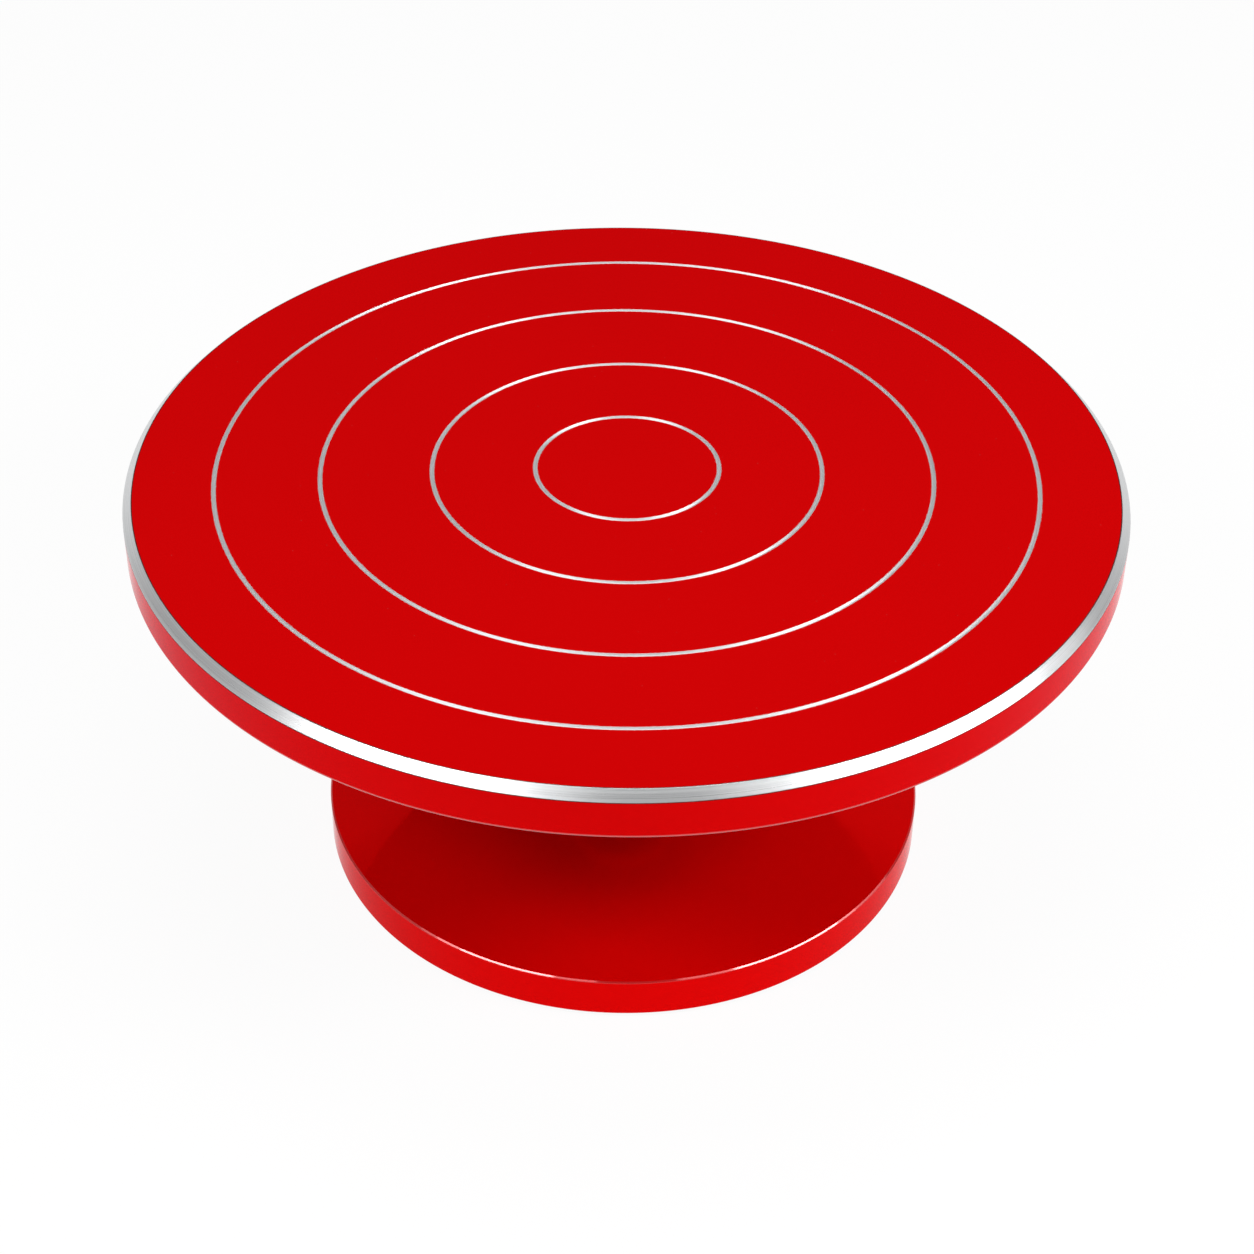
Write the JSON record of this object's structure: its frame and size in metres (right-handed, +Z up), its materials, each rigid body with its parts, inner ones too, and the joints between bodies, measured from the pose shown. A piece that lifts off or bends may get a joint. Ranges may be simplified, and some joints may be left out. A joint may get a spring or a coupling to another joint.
{
  "type": "banding wheel",
  "caption": "Bench banding wheel for pottery: a flat round head with turned guide rings that spins on ball bearings in the neck of a smaller round base.",
  "frame": {"origin": "on the spin axis, at the height of the surface that the rubber feet stand on", "axes": "+Z up along the spin axis, out of the head's top face; X and Y are level, with the feet at 45 degrees between them"},
  "size_m": [0.3, 0.3, 0.1365],
  "materials": {
    "red_enamel": "gloss",
    "ground_steel": "satin",
    "bearing_steel": "polished",
    "spring_steel": "satin",
    "black_screw": "satin",
    "zinc_plate": "satin",
    "cage_nylon": "satin",
    "foot_rubber": "matte"
  },
  "bodies": {
    "base": {"base_casting": "red_enamel", "housing_circlip": "spring_steel", "bottom_cap": "zinc_plate", "cap_screw_1": "zinc_plate", "cap_screw_2": "zinc_plate", "cap_screw_3": "zinc_plate", "rubber_foot_1": "foot_rubber", "rubber_foot_2": "foot_rubber", "rubber_foot_3": "foot_rubber", "rubber_foot_4": "foot_rubber", "upper_bearing_outer_race": "bearing_steel", "upper_bearing_top_shield": "zinc_plate", "upper_bearing_bottom_shield": "zinc_plate", "lower_bearing_outer_race": "bearing_steel", "lower_bearing_top_shield": "zinc_plate", "lower_bearing_bottom_shield": "zinc_plate"},
    "wheel": {"wheel_head": "red_enamel", "spindle": "ground_steel", "spacer_sleeve": "ground_steel", "shim_washer": "ground_steel", "spindle_circlip": "spring_steel", "flange_screw_1": "black_screw", "flange_screw_2": "black_screw", "flange_screw_3": "black_screw", "flange_screw_4": "black_screw", "upper_bearing_inner_race": "bearing_steel", "lower_bearing_inner_race": "bearing_steel"},
    "upper_ball_set": {"upper_bearing_cage": "cage_nylon", "upper_bearing_ball_1": "bearing_steel", "upper_bearing_ball_2": "bearing_steel", "upper_bearing_ball_3": "bearing_steel", "upper_bearing_ball_4": "bearing_steel", "upper_bearing_ball_5": "bearing_steel", "upper_bearing_ball_6": "bearing_steel", "upper_bearing_ball_7": "bearing_steel", "upper_bearing_ball_8": "bearing_steel"},
    "lower_ball_set": {"lower_bearing_cage": "cage_nylon", "lower_bearing_ball_1": "bearing_steel", "lower_bearing_ball_2": "bearing_steel", "lower_bearing_ball_3": "bearing_steel", "lower_bearing_ball_4": "bearing_steel", "lower_bearing_ball_5": "bearing_steel", "lower_bearing_ball_6": "bearing_steel", "lower_bearing_ball_7": "bearing_steel", "lower_bearing_ball_8": "bearing_steel"}
  },
  "joints": [
    {"name": "wheel_spin", "type": "hinge", "parent": "base", "child": "wheel", "pos_m": [0, 0, 0.089], "axis": [0, 0, 1], "continuous": true},
    {"name": "upper_balls_orbit", "type": "hinge", "parent": "base", "child": "upper_ball_set", "pos_m": [0, 0, 0.089], "axis": [0, 0, 1], "continuous": true},
    {"name": "lower_balls_orbit", "type": "hinge", "parent": "base", "child": "lower_ball_set", "pos_m": [0, 0, 0.037], "axis": [0, 0, 1], "continuous": true}
  ],
  "couplings": [
    {"joint": "upper_balls_orbit", "follows": "wheel_spin", "ratio": 0.38149},
    {"joint": "lower_balls_orbit", "follows": "wheel_spin", "ratio": 0.38149}
  ]
}
